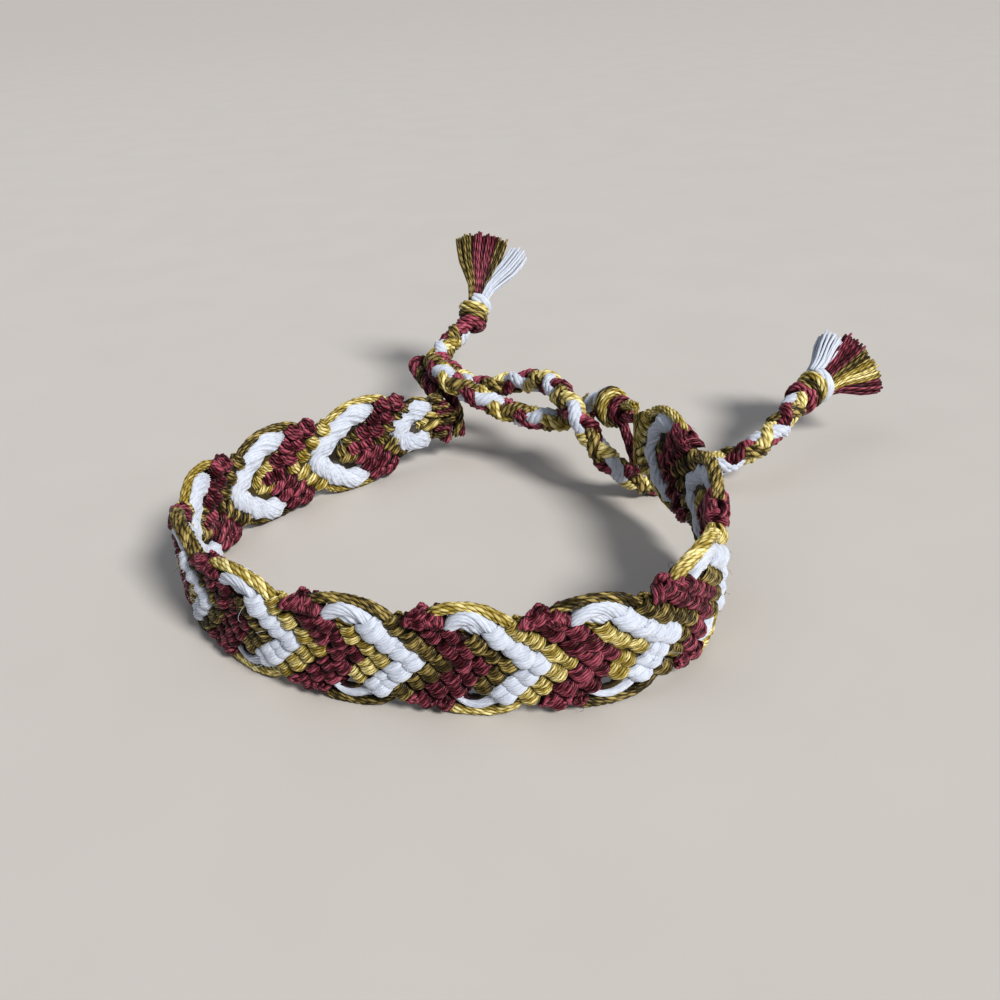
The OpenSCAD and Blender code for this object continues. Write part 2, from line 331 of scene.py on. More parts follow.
def centre_line(place):
    """The place and heading of the band's centre line, in plan."""
    run = place - ORIGIN_PLACE
    i = max(0, min(len(TURNS) - 1, int(run // ARC_LENGTH)))
    return step_arc(ARC_STARTS[i], run - i * ARC_LENGTH, TURNS[i] / ARC_LENGTH)


def ease(place, begins, ends):
    """A smooth step from 0 to 1 between two places."""
    u = max(0.0, min(1.0, (place - begins) / (ends - begins)))
    return u * u * (3 - 2 * u)


def lift_at(place):
    """How far the band's middle is raised: a little at its beginning, more at its end."""
    opened = ease(place, BEGIN_PLACE, BEGIN_PLACE + OPENING_RUN)
    return BEGIN_LIFT * (1 - opened) + FINISH_LIFT * ease(place, RISE_BEGINS, RISE_ENDS)


def half_height(place):
    """Half the height of the band, which is drawn in at both ends."""
    opened = ease(place, BEGIN_PLACE, BEGIN_PLACE + OPENING_RUN)
    closed = ease(place, FINISH_PLACE - CLOSING_RUN, FINISH_PLACE)
    full = 2 * HALF
    return (BEGIN_HEIGHT + (full - BEGIN_HEIGHT) * opened - (full - FINISH_HEIGHT) * closed) / 2


def place_of(motif, s, v):
    """Where a point of a motif's pattern lies along the band."""
    w = v / HALF
    tip = 1 - min(abs(w), 1)
    length, skew = MOTIFS[motif]
    u = s - LEAD * tip
    share = (u - FIRST_MOTIF_FROM) / (PITCH - FIRST_MOTIF_FROM) if motif == 0 else u / PITCH
    near = max(0.0, min(1.0, share))
    lead = LEAD
    if motif == 0:
        lead *= near
    elif motif == LAST_MOTIF:
        lead *= 1 - near
    next_skew = MOTIFS[motif + 1][1] if motif < LAST_MOTIF else 0.0
    lean = skew * (1 - near) + next_skew * near
    return MOTIF_BEGINS[motif] + share * length + lead * tip - lean * w / 2


def at_place(place, v, out):
    """A point of the band: v above its middle line and out from its middle sheet, away from the wrist."""
    x, y, heading = centre_line(place)
    w = max(-1.0, min(1.0, v / HALF))
    z = MIDDLE_Z + lift_at(place) + w * half_height(place) + (v - w * HALF)
    turn = math.radians(heading)
    return np.array([x + out * math.sin(turn), y - out * math.cos(turn), z])


def on_band(motif, s, v, out):
    """A point of a motif's pattern: s along it, v above the middle line, out from the middle sheet."""
    return at_place(place_of(motif, s, v), v, out)


# Finishes

def link(tree, a, output, b, socket):
    tree.links.new(a.outputs[output], b.inputs[socket])


def math_node(tree, operation, a, b=None):
    """The sum, product or other function of one or two sockets or numbers."""
    node = tree.nodes.new("ShaderNodeMath")
    node.operation = operation
    for socket, value in zip(node.inputs, (a, b)):
        if value is None:
            continue
        if isinstance(value, (int, float)):
            socket.default_value = value
        else:
            tree.links.new(value, socket)
    return node.outputs[0]


def weighted_sum(tree, parts):
    """The sum of some sockets, each times its share."""
    total = None
    for output, share in parts:
        part = math_node(tree, "MULTIPLY", output, share)
        total = part if total is None else math_node(tree, "ADD", total, part)
    return total


def noise_node(tree, vector, scale, detail):
    node = tree.nodes.new("ShaderNodeTexNoise")
    node.inputs["Scale"].default_value = scale
    node.inputs["Detail"].default_value = detail
    tree.links.new(vector, node.inputs["Vector"])
    return node.outputs["Fac"]


def ramp_node(tree, factor, stops):
    """Colours that follow a factor, from stops of a position and a colour each."""
    node = tree.nodes.new("ShaderNodeValToRGB")
    elements = node.color_ramp.elements
    while len(elements) < len(stops):
        elements.new(0.5)
    for element, (position, colour) in zip(elements, stops):
        element.position = position
        element.color = (*colour, 1)
    tree.links.new(factor, node.inputs["Fac"])
    return node.outputs["Color"]


def colour_surface(tree, colour, shade, surface):
    """The surface's colour: a colour multiplied by a shade."""
    mix = tree.nodes.new("ShaderNodeMix")
    mix.data_type = "RGBA"
    mix.blend_type = "MULTIPLY"
    mix.inputs["Factor"].default_value = 1.0
    tree.links.new(colour, mix.inputs["A"])
    tree.links.new(shade, mix.inputs["B"])
    tree.links.new(mix.outputs["Result"], surface.inputs["Base Color"])


def bump_surface(tree, height, strength, depth, surface):
    """A fine relief of the surface, from a socket that gives its height."""
    bump = tree.nodes.new("ShaderNodeBump")
    bump.inputs["Strength"].default_value = strength
    bump.inputs["Distance"].default_value = depth
    tree.links.new(height, bump.inputs["Height"])
    link(tree, bump, "Normal", surface, "Normal")


def new_material(name, roughness):
    """A material, its node tree and its surface."""
    material = bpy.data.materials.new(name)
    material.use_nodes = True
    surface = material.node_tree.nodes["Principled BSDF"]
    surface.inputs["Roughness"].default_value = roughness
    return material, material.node_tree, surface


# Yarns wind round each ply: how many pass in a millimetre along it and how many lie round it.
# Fibres are noise that is stretched along the ply, and patches are a coarser unevenness.
YARNS_ALONG = 1.1
YARNS_ROUND = 2.0
FIBRES_ALONG = 0.9
FIBRES_ROUND = 20.0
PATCH_SCALE = 600.0

# How much the yarns' crests, the ply's own lightness, the fibres and the patches count in its tone,
# and the tones that have the finish's shade, middle and light colour. The crests' share paints
# a highlight along each yarn's crest and painted shade where two yarns meet
PAINTED_CREST_SHARE = 0.32
PLY_SHARE = 0.30
FIBRE_SHARE = 0.50
PATCH_SHARE = 0.22
TONES = (0.39, 0.69, 0.96)

# Painted shade darkens the gaps between plies: how near their neighbours are, and how open a place is
# where the painted shade is darkest and where it no longer darkens
GAP_REACH = 1.3 * MM
GAP_CLOSED = 0.1
GAP_OPEN = 0.8
UNCHANGED = (1.0, 1.0, 1.0)

FLOSS_BUMP = 0.05 * MM


def yarn_crest(tree, along, around):
    """High along the middle of each yarn in a ply, low where two yarns meet."""
    wound = weighted_sum(tree, ((along, YARNS_ALONG), (around, YARNS_ROUND)))
    wave = math_node(tree, "SINE", math_node(tree, "MULTIPLY", wound, math.pi))
    return math_node(tree, "POWER", math_node(tree, "ABSOLUTE", wave), 0.6)


def fibre_noise(tree, along, around):
    """Fine fibres that run along a ply."""
    stretched = tree.nodes.new("ShaderNodeCombineXYZ")
    tree.links.new(math_node(tree, "MULTIPLY", along, FIBRES_ALONG), stretched.inputs["X"])
    tree.links.new(math_node(tree, "MULTIPLY", around, FIBRES_ROUND), stretched.inputs["Y"])
    return noise_node(tree, stretched.outputs["Vector"], 1.0, 2.0)


def painted_gap_shading(tree, painted_gap_shade):
    """Painted shade that darkens the colour of what lies deep between plies."""
    gaps = tree.nodes.new("ShaderNodeAmbientOcclusion")
    gaps.samples = 4
    gaps.inputs["Distance"].default_value = GAP_REACH
    return ramp_node(tree, gaps.outputs["AO"], ((GAP_CLOSED, (painted_gap_shade,) * 3), (GAP_OPEN, UNCHANGED)))


def floss_finish(name, shade, middle, light, roughness, sheen, relief, painted_gap_shade):
    """Stranded floss: every ply has its own tone, fine fibres along it and the twist of its yarns, with a painted
    highlight on the yarns' crests, painted shade where they meet and painted shade in the gaps between plies.
    """
    material, tree, surface = new_material(name, roughness)
    surface.inputs["Sheen Weight"].default_value = sheen
    surface.inputs["Sheen Roughness"].default_value = 0.45
    surface.inputs["Specular IOR Level"].default_value = 0.2

    place = tree.nodes.new("ShaderNodeTexCoord")
    split = tree.nodes.new("ShaderNodeSeparateXYZ")
    link(tree, place, "UV", split, "Vector")
    along, around = split.outputs["X"], split.outputs["Y"]
    crest = yarn_crest(tree, along, around)
    fibres = fibre_noise(tree, along, around)
    patches = noise_node(tree, place.outputs["Object"], PATCH_SCALE, 1.0)
    ply = tree.nodes.new("ShaderNodeNewGeometry").outputs["Random Per Island"]

    # The crests paint a highlight and the lines where yarns meet paint shade; the ply, fibre and patch parts are the
    # floss's own uneven tone
    shares = ((crest, PAINTED_CREST_SHARE), (ply, PLY_SHARE), (fibres, FIBRE_SHARE), (patches, PATCH_SHARE))
    stops = tuple(zip(TONES, (shade, middle, light)))
    colours = ramp_node(tree, weighted_sum(tree, shares), stops)
    colour_surface(tree, colours, painted_gap_shading(tree, painted_gap_shade), surface)
    bump_surface(tree, weighted_sum(tree, ((crest, 1.0), (fibres, 0.5))), relief, FLOSS_BUMP, surface)
    return material


def inner_finish(name):
    """The strings inside the knots, each in the colour of the knots that cover it, darkened as painted shade."""
    material, tree, surface = new_material(name, 0.8)
    shaded_tint = tree.nodes.new("ShaderNodeAttribute")
    shaded_tint.attribute_name = "shaded_string_colour"
    place = tree.nodes.new("ShaderNodeTexCoord")
    grain = noise_node(tree, place.outputs["Object"], 2600.0, 3.0)
    shade = ramp_node(tree, grain, ((0.3, (0.45, 0.45, 0.45)), (0.7, UNCHANGED)))
    colour_surface(tree, shaded_tint.outputs["Color"], shade, surface)
    bump_surface(tree, grain, 0.7, 0.15 * MM, surface)
    return material


def floor_finish():
    """A pale plain floor with a faint unevenness of tone."""
    material, tree, surface = new_material("floor", 0.7)
    place = tree.nodes.new("ShaderNodeTexCoord")
    grain = noise_node(tree, place.outputs["Object"], 60.0, 2.0)
    tone = ramp_node(tree, grain, ((0.3, (0.590, 0.565, 0.535)), (0.7, (0.605, 0.580, 0.550))))
    tree.links.new(tone, surface.inputs["Base Color"])
    return material


# Each floss: its colour in painted shade, on its sides and as a painted highlight on its crests, each also moved by
# the floss's own uneven tone, and how it takes the light
FLOSS = (
    floss_finish(
        "burgundy_floss", (0.005, 0.0003, 0.0009), (0.056, 0.004, 0.010), (0.46, 0.115, 0.165),
        roughness=0.36, sheen=0.04, relief=0.9, painted_gap_shade=0.05),
    floss_finish(
        "white_floss", (0.45, 0.49, 0.59), (0.57, 0.62, 0.72), (0.64, 0.69, 0.79),
        roughness=0.85, sheen=0.5, relief=0.25, painted_gap_shade=0.68),
    floss_finish(
        "gold_floss", (0.050, 0.030, 0.0025), (0.34, 0.25, 0.04), (0.95, 0.84, 0.42),
        roughness=0.34, sheen=0.04, relief=0.9, painted_gap_shade=0.09),
    floss_finish(
        "olive_floss", (0.005, 0.0032, 0.0008), (0.052, 0.036, 0.007), (0.50, 0.39, 0.14),
        roughness=0.34, sheen=0.04, relief=0.9, painted_gap_shade=0.05),
)

# The strings inside the knots, by the colour of the knots, darkened as painted shade under them
SHADED_STRING_COLOURS = (
    (0.030, 0.003, 0.008), (0.10, 0.09, 0.08), (0.08, 0.055, 0.008), (0.022, 0.015, 0.004),
)


# Plies and bundles

# How far plies stay off the floor, how near to each other points are welded,
# and the share of its first and last step in which a cut ply reaches its full width
FLOOR_GAP = 0.02
WELD = 0.0005 * MM
CUT_EDGE = 0.04


def placed(name, data):
    """A new object in the scene, at the origin."""
    thing = bpy.data.objects.new(name, data)
    bpy.context.scene.collection.objects.link(thing)
    return thing


class Plies:
    """Round plies of floss, with a colour each, that become one mesh."""

    def __init__(self, name, colours, steps_round=1):
        self.colours = list(colours)
        self.sides = 4 + 2 * steps_round
        self.curve = bpy.data.curves.new(name, "CURVE")
        self.curve.dimensions = "3D"
        self.curve.bevel_depth = MM
        self.curve.bevel_resolution = steps_round
        for colour in self.colours:
            self.curve.materials.append(FLOSS[colour])
        self.counts = []
        self.lengths = []

    def add(self, points, radius, colour, blunt=False):
        """One ply through points. Its ends are drawn to a point, or cut flat where they show."""
        radii = np.full(len(points), 1.0) * radius
        if blunt:
            first = points[0] + (points[1] - points[0]) * CUT_EDGE
            last = points[-1] + (points[-2] - points[-1]) * CUT_EDGE
            points = np.vstack([points[:1], first, points[1:-1], last, points[-1:]])
            radii = np.concatenate([[0], radii[:1], radii[1:-1], radii[-1:], [0]])
        radii[0] = radii[-1] = 0
        count = len(points)
        spline = self.curve.splines.new("POLY")
        spline.points.add(count - 1)
        places = np.ones((count, 4), np.float32)
        places[:, :3] = (points - BOX_MIDDLE) * MM
        places[:, 2] = np.maximum(places[:, 2], (np.max(radii) + FLOOR_GAP) * MM)
        spline.points.foreach_set("co", places.ravel())
        spline.points.foreach_set("radius", radii.astype(np.float32))
        spline.material_index = self.colours.index(colour)
        spline.use_smooth = True
        self.counts.append(count)
        self.lengths.append(run_along(points)[-1])

    def piece(self, slot, *nodes):
        """The finished mesh, whose UV map runs in millimetres along each ply."""
        name = self.curve.name
        holder = placed(name + "_line", self.curve)
        shaped = holder.evaluated_get(bpy.context.evaluated_depsgraph_get())
        mesh = bpy.data.meshes.new_from_object(shaped)
        bpy.data.objects.remove(holder)
        mesh.name = name
        self.measure_uv(mesh)
        form = bmesh.new()
        form.from_mesh(mesh)
        bmesh.ops.remove_doubles(form, verts=form.verts, dist=WELD)
        form.to_mesh(mesh)
        form.free()
        return finished(name, mesh, slot, *nodes)

    def measure_uv(self, mesh):
        """Stretch the UV map of each ply from a share of its length to millimetres."""
        corners = [(count - 1) * self.sides * 4 for count in self.counts]
        uv = np.empty(len(mesh.loops) * 2, np.float32)
        layer = mesh.uv_layers[0].data
        layer.foreach_get("uv", uv)
        uv = uv.reshape(-1, 2)
        uv[:, 0] *= np.repeat(self.lengths, corners)
        layer.foreach_set("uv", uv.ravel())


def finished(name, mesh, slot, *nodes):
    """A piece of the bracelet that rides with it and may stand for some of the part's nodes."""
    piece = placed(name, mesh)
    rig.ride(piece, "root")
    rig.slot(piece, slot)
    if nodes:
        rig.replaces(piece, *nodes)
    return piece


# How thick a ply is beside its spacing, by colour: white plies fill their strand and their wraps
STRAND_FULLNESS = (0.54, 0.82, 0.54, 0.54)
WRAP_FULLNESS = (0.56, 0.80, 0.56, 0.56)


def bundle(plies, path, reach, colour, count=6, turn=5.0, flat=1.0, reference=(0, 0, 1)):
    """A strand of several plies wound round its own line.

    Reach is half its width, one number or one a point, and turn is the length of one full turn.
    """
    reach = np.full(len(path), 1.0) * reach
    ring_r = reach / (1 + STRAND_FULLNESS[colour] * 2 * math.pi / count)
    ply_r = reach - ring_r
    first, second = sides_of(path, reference)
    wound = 2 * math.pi * run_along(path) / turn
    begin = rng.uniform(0, 2 * math.pi)
    for k in range(count):
        angle = begin + wound + 2 * math.pi * (k + rng.uniform(-0.12, 0.12)) / count
        swell = 1 + 0.08 * math.sin(k * 2.4 + begin)
        across = (ring_r * swell * np.cos(angle))[:, None] * first
        through = (ring_r * swell * flat * np.sin(angle))[:, None] * second
        plies.add(path + across + through, ply_r, colour)
    plies.add(path, ring_r * min(1.0, flat) * 0.98, colour)


# Knots of the band

# Places of the knots along a motif's pattern, each with its level above the band's middle line
BURGUNDY_PLACES = (0.80, 2.35)
BURGUNDY_LEVELS = (4.25, 2.85, 1.42, 0.0, -1.42, -2.85, -4.25)
INNER_V = ((6.5, 2.1), (7.6, 1.0), (8.8, 0.0), (7.6, -1.0), (6.5, -2.1))
INNER_BACK_V = ((6.5, 1.2), (7.4, 1.0), (8.1, 0.0), (7.4, -1.0), (6.5, -1.2))
WHITE_V = (
    (8.3, 2.85), (9.3, 1.95), (10.3, 1.0), (11.4, 0.1), (10.3, -1.0), (9.3, -1.95), (8.3, -2.85),
)
OUTER_V = (
    (10.1, 3.4), (11.5, 2.25), (12.8, 1.1), (14.0, 0.0), (12.8, -1.1), (11.5, -2.25), (10.1, -3.4),
)

# The first motif is short, so its white and its inner colour make a small point of their own
FIRST_INNER_V = ((8.4, 1.0), (10.0, 0.0), (8.4, -1.0))
FIRST_WHITE_V = (
    (9.2, 2.85), (10.2, 1.95), (11.3, 1.0), (12.5, 0.1), (11.3, -1.0), (10.2, -1.95), (9.2, -2.85),
)
FIRST_OUTER_V = (
    (10.4, 2.8), (11.6, 2.1), (12.8, 1.1), (14.0, 0.0), (12.8, -1.1), (11.6, -2.1), (10.4, -2.8),
)

# Knots nearer to the middle line than this are at the point
AT_POINT = 0.3


def knots_of(motif, face=1):
    """The knots of one motif: colour, place, level, side of the point, and whether they are inner ones."""
    outer, inner = (GOLD, OLIVE) if motif % 2 else (OLIVE, GOLD)
    if motif == 0:
        small = FIRST_INNER_V
        rows = [(inner, small), (WHITE, FIRST_WHITE_V), (outer, FIRST_OUTER_V)]
    else:
        small = INNER_V if face > 0 else INNER_BACK_V
        rows = [(inner, small), (WHITE, WHITE_V), (outer, OUTER_V)]
        for u in BURGUNDY_PLACES:
            row = [(u + LEAD * (1 - abs(v) / HALF), v) for v in BURGUNDY_LEVELS]
            rows.insert(0, (BURGUNDY, row))
    knots = []
    for colour, row in rows:
        for s, v in row:
            side = 0 if abs(v) < AT_POINT else math.copysign(1, v)
            knots.append((colour, s, v, side, row is small))
    return knots


# A wrap's plies lie side by side over this much of a turn. Their points have these shares of the
# way along, they dive to this height at both ends, and the lower a power is, the steeper they
# rise and the sooner they spread. They bow to one side by this share of their length.
WRAP_FAN = math.radians(205)
WRAP_SHARES = (1 - np.cos(np.pi * np.linspace(0.03, 0.97, 7))) / 2
WRAP_FOOT = 0.05
WRAP_RISE = 0.45
WRAP_SPREAD = 0.15
WRAP_BOW = 0.12


def loop_of_floss(plies, place, size, colour, count):
    """One wrap of floss over a knot: plies that leave one point, arch over it and dive at the other."""
    length, width, top = size
    ring = width / (1 + WRAP_FULLNESS[colour] * WRAP_FAN / count)
    ply_r = width - ring
    centre = top - width
    twist = rng.uniform(0.6, 1.3)

    def ply(spread, away, radius):
        points = []
        for t in WRAP_SHARES:
            arch = math.sin(math.pi * t) ** WRAP_RISE
            leaf = math.sin(math.pi * t) ** WRAP_SPREAD
            angle = spread + twist * (t - 0.5)
            across = away * math.sin(angle) * leaf + WRAP_BOW * length * (4 * t * (1 - t) - 0.6)
            lift = WRAP_FOOT + (centre + away * math.cos(angle) - WRAP_FOOT) * arch
            points.append(place((t - 0.5) * length, across, lift))
        plies.add(np.array(points), radius, colour)

    for k in range(count):
        spread = WRAP_FAN * ((k + 0.5) / count - 0.5) + rng.uniform(-0.07, 0.07)
        ply(spread, ring, ply_r * rng.uniform(0.92, 1.08))
    ply(0.0, 0.0, ring * 0.95 * np.sin(np.pi * WRAP_SHARES) ** WRAP_RISE)


def on_face(motif, s, v, slant, face):
    """Places for a wrap that lies on a face of the band, turned by a slant in degrees."""
    ahead, up = math.cos(math.radians(slant)), math.sin(math.radians(slant))

    def place(along, across, lift):
        level = v + along * up - across * ahead
        return on_band(motif, s + along * ahead + across * up, level, face * lift)

    return place


def on_edge(motif, s, way, level, shear):
    """Places for a wrap that turns over the band's upper or lower edge and slants from face to face."""

    def place(along, across, lift):
        return on_band(motif, s + across + shear * along, way * (level + lift), along)

    return place


# The two wraps of an outer knot: how far each lies across the slant, how far it is set back and
# turned back, its length, width and top, and its plies in white and in the other colours.
# The first stands proud of the second. Knots of the lower rows slant a little more, white ones
# are larger and those at the first point are smaller.
OUTER_SLANT = 31.0
LOWER_ROWS_SLANT = 5
KNOT_LOOP = 1.75
OUTER_WRAPS = (
    (0.24, 0.0, 0, (KNOT_LOOP, 0.54, 1.14), 8, 7),
    (-0.44, 0.1, 4, (KNOT_LOOP * 0.95, 0.44, 0.98), 6, 5),
)
WHITE_GROWN = 1.26
FIRST_POINT_GROWN = 0.8

# The length, width and top of a knot's back, and its slant above, below and at the point
SMALL_BACK = (1.75, 0.68, 1.02)
BURGUNDY_BACK = (2.4, 0.84, 1.26)
OTHER_BACK = (2.1, 0.80, 1.04)
BACK_SLANTS = {1: 56, -1: -42, 0: 80}


def outer_knot(plies, motif, colour, s, v, side):
    """Two wraps side by side, both slanting the way the work runs."""
    slant = OUTER_SLANT + rng.uniform(-11, 11) + (LOWER_ROWS_SLANT if side < 0 else 0)
    turn = math.radians(slant)
    lean = (math.sin(turn), -math.cos(turn))
    white = colour == WHITE
    grown = rng.uniform(0.95, 1.15) * (WHITE_GROWN if white else 1.0)
    if motif == 0 and abs(v) < 1.2:
        grown *= FIRST_POINT_GROWN
    s += rng.uniform(-0.14, 0.14)
    v += rng.uniform(-0.12, 0.12)
    for across, back, less, size, white_count, count in OUTER_WRAPS:
        place = on_face(motif, s + across * lean[0] - back, v + across * lean[1], slant - less, 1)
        size = [part * grown for part in size]
        loop_of_floss(plies, place, size, colour, white_count if white else count)


def inner_knot(plies, motif, colour, s, v, side, small):
    """The back of a knot: one wrap across its row."""
    slant = BACK_SLANTS[side] + rng.uniform(-9, 9)
    size = SMALL_BACK if small else BURGUNDY_BACK if colour == BURGUNDY else OTHER_BACK
    grown = rng.uniform(0.95, 1.06)
    loop_of_floss(plies, on_face(motif, s, v, slant, -1), [grown * part for part in size], colour, 6)


# Over the edges: each edge's way and level, the level of the burgundy row's last knot, places
# along the core inside a cap of wraps, each wrap's place and shear, and a wrap's size
EDGE_LEVELS = ((1, 3.95), (-1, 3.85))
EDGE_ROW = 4.5
EDGE_CORE = (0.1, 0.7, 1.5, 2.3, 2.9)
EDGE_TURNS = ((0.55, -0.45), (1.65, 0.5), (2.55, 0.35))
EDGE_SIZE = (2.45, 0.74, 1.14)


def edge_wraps():
    """The burgundy strings turn over the band's edges at the ends of their rows."""
    plies = Plies("burgundy_edge_wraps", (BURGUNDY,))
    begin = LEAD * (1 - EDGE_ROW / HALF)
    for motif in range(1, len(MOTIFS)):
        for way, level in EDGE_LEVELS:
            core = [on_band(motif, begin + u, way * (level + 0.05), 0) for u in EDGE_CORE]
            bundle(plies, smooth(core, 2), 0.72, BURGUNDY, count=7, turn=3.4)
            for u, shear in EDGE_TURNS:
                size = EDGE_SIZE * np.array([1, 1, rng.uniform(0.92, 1.06)])
                shear += rng.uniform(-0.15, 0.15)
                over = on_edge(motif, begin + u + rng.uniform(-0.1, 0.1), way, level - 0.1, shear)
                loop_of_floss(plies, over, size, BURGUNDY, 9)
    return plies.piece("burgundy_floss")


def row_of_knots(name, faces, colours):
    """All the knots of some colours on one or both faces of the band, as one piece."""
    plies = Plies(name, colours)
    for motif in range(len(MOTIFS)):
        for face in faces:
            for colour, s, v, side, small in knots_of(motif, face):
                if colour not in colours:
                    continue
                if face > 0:
                    outer_knot(plies, motif, colour, s, v, side)
                elif colour != WHITE:
                    inner_knot(plies, motif, colour, s, v, side, small)
    return plies.piece(COLOUR_NAMES[colours[0]] + "_floss")


# Floats and arcs

# The white floats of each motif: places and levels, and half the width at each
WHITE_FLOAT = ((3.7, 3.2), (4.5, 4.05), (5.6, 4.7), (6.7, 4.65), (7.7, 3.9), (8.5, 3.0))
WHITE_FLOAT_REACH = (0.50, 0.70, 0.80, 0.80, 0.74, 0.6)
WHITE_EYE = ((3.8, -2.9), (3.95, -3.7), (4.8, -4.45), (5.9, -4.5), (7.0, -3.9), (8.2, -3.0))
WHITE_EYE_REACH = (0.28, 0.30, 0.36, 0.46, 0.56, 0.55)

# The white line on the inner face. It runs lower and thinner under the eyelets that stand open.
WHITE_BACK = (
    (4.2, 3.9), (5.3, 4.15), (6.6, 4.1), (7.9, 3.4), (9.2, 2.3), (10.4, 1.1), (11.1, 0.0),
    (10.5, -1.1), (9.4, -2.2), (8.1, -3.2), (6.8, -3.9), (5.4, -4.15), (4.1, -3.9),
)
OPEN_WHITE_BACK = WHITE_BACK[:-4] + ((8.0, -3.6), (6.9, -4.4), (5.6, -4.7), (4.3, -4.4))
FIRST_WHITE_BACK = (
    (7.3, 2.3), (8.6, 2.4), (9.9, 2.2), (11.2, 1.4), (12.4, 0.2),
    (11.5, -1.2), (10.3, -2.3), (8.8, -2.9), (7.2, -3.0),
)
OPEN_EYELETS = range(5, 9)
OPEN_RUN = 4.2
OPEN_TAPER = 0.55

# How far out of the middle sheet the line lies and half its width, in most motifs and in the last
# ones, and its lumps between the knots that press on it
FIRST_LATE_MOTIF = 9
BACK_LINE = (-0.30, 1.26)
LATE_BACK_LINE = (-0.05, 1.02)
LUMP = 0.17
LUMP_PITCH = 2.7

# The arcs along the two edges, with the motifs whose arcs are looser and so thicker
TOP_ARC = ((2.3, 4.3), (3.1, 5.05), (4.6, 5.42), (6.2, 5.42), (7.8, 5.1), (9.1, 4.3), (10.1, 3.5))
LOW_ARC = ((2.1, -4.3), (2.9, -4.95), (4.3, -5.35), (6.0, -5.38), (7.7, -5.1), (9.0, -4.4), (10.0, -3.5))
FIRST_ARC = ((6.6, 2.6), (7.8, 3.5), (9.2, 3.75), (10.2, 3.4))
ARC_REACH = 0.55
LOOSE_ARCS = {4: 1.45, 5: 1.15, 9: 1.3, 10: 1.3}

# Strings beside the eyelets: the upper eyelets are nearly closed, the lower ones stand open
EYELET_STRINGS = (
    (((3.6, 3.7), (5.2, 3.4), (7.0, 2.5)), 0.42),
    (((3.9, 3.0), (5.2, 2.6), (6.6, 1.9)), 0.42),
    (((3.4, -2.6), (4.9, -2.35), (6.4, -2.0)), 0.36),
)


def line_on_band(motif, places, out, parts):
    """A smooth line on the band through places of a motif's pattern."""
    line = smooth([(*place, 0) for place in places], parts)
    return np.array([on_band(motif, s, v, out) for s, v, _ in line])


def reach_along(values, count):
    """Half widths at the points of a line, from a few values spaced evenly along it."""
    return np.interp(np.linspace(0, 1, count), np.linspace(0, 1, len(values)), values)


def white_floats():
    """The thick white floats that frame each eyelet."""
    plies = Plies("white_floats", (WHITE,))
    for motif in range(1, len(MOTIFS)):
        for places, reach in ((WHITE_FLOAT, WHITE_FLOAT_REACH), (WHITE_EYE, WHITE_EYE_REACH)):
            path = line_on_band(motif, places, 0.2, 3)
            reach = reach_along(reach, len(path))
            bundle(plies, path, reach, WHITE, count=11, turn=9.0, flat=0.9)
    return plies.piece("white_floss")


def white_backs():
    """The white strand on the inner face: one fat smooth line round the point of each motif."""
    plies = Plies("white_backs", (WHITE,))
    for motif in range(len(MOTIFS)):
        opened = motif in OPEN_EYELETS
        places = OPEN_WHITE_BACK if opened else WHITE_BACK if motif else FIRST_WHITE_BACK
        out, width = LATE_BACK_LINE if motif >= FIRST_LATE_MOTIF else BACK_LINE
        path = line_on_band(motif, places, out, 2)
        run = run_along(path)
        lumps = width + LUMP * np.cos(2 * math.pi * run / LUMP_PITCH + 1.0)
        taper = np.clip(np.minimum(run, run[-1] - run), 0.6, 1)
        if opened:
            taper = np.where(run > run[-1] - OPEN_RUN, OPEN_TAPER, taper)
        bundle(plies, path, lumps * taper, WHITE, count=17, turn=9.0, flat=0.70)
    return plies.piece("white_floss")


# The strings at the straight beginning of the band: level and colour, and how far out of
# the middle sheet each one's three points are
START_STRINGS = (
    (-3.0, OLIVE), (-2.3, BURGUNDY), (-1.5, BURGUNDY), (-0.7, OLIVE), (0.2, OLIVE),
    (1.0, BURGUNDY), (1.8, OLIVE), (2.6, BURGUNDY), (3.3, OLIVE),
)
START_HEIGHTS = (0.35, 0.65, 0.3)


def start_strings():
    """The strings that enter the first motif from its straight edge."""
    plies = Plies("start_strings", (BURGUNDY, OLIVE))
    for v, colour in START_STRINGS:
        tip = LEAD * (1 - abs(v) / HALF)
        for face in (1, -1):
            drift = rng.uniform(-0.5, 0.5)
            places = ((4.6 + tip * 0.1, v), (5.2 + tip * 0.35, v + drift), (6.0 + tip * 0.6, v * 0.9 + drift))
            path = [on_band(0, *place, face * out) for place, out in zip(places, START_HEIGHTS)]
            bundle(plies, smooth(path, 4), 0.50, colour, count=5, turn=3.0)
    return plies.piece("burgundy_floss")


def eyelet_strings(colour):
    """The strings that cross beside the eyelets on their way to the inner knots, in one colour."""
    plies = Plies(COLOUR_NAMES[colour] + "_eyelet_strings", (colour,))
    for motif in range(1, len(MOTIFS)):
        if (motif % 2 == 0) != (colour == GOLD):
            continue
        for places, reach in EYELET_STRINGS:
            path = line_on_band(motif, places, -0.05, 3)
            bundle(plies, path, reach, colour, count=5, turn=5.0)
    return plies.piece(COLOUR_NAMES[colour] + "_floss")


def edge_arcs(colour):
    """The arcs of floss along the band's two edges, in one colour."""
    plies = Plies(COLOUR_NAMES[colour] + "_edge_arcs", (colour,))
    for motif in range(len(MOTIFS)):
        if (motif % 2 == 1) != (colour == GOLD):
            continue
        for places in (TOP_ARC, LOW_ARC):
            if motif == 0:
                places = [(s, math.copysign(v, places[0][1])) for s, v in FIRST_ARC]
            path = line_on_band(motif, places, 0.05, 3)
            grown = LOOSE_ARCS.get(motif, 1.0)
            count = 9 if grown > 1.2 else 7
            bundle(plies, path, ARC_REACH * grown, colour, count, turn=4.6)
    return plies.piece(COLOUR_NAMES[colour] + "_floss")


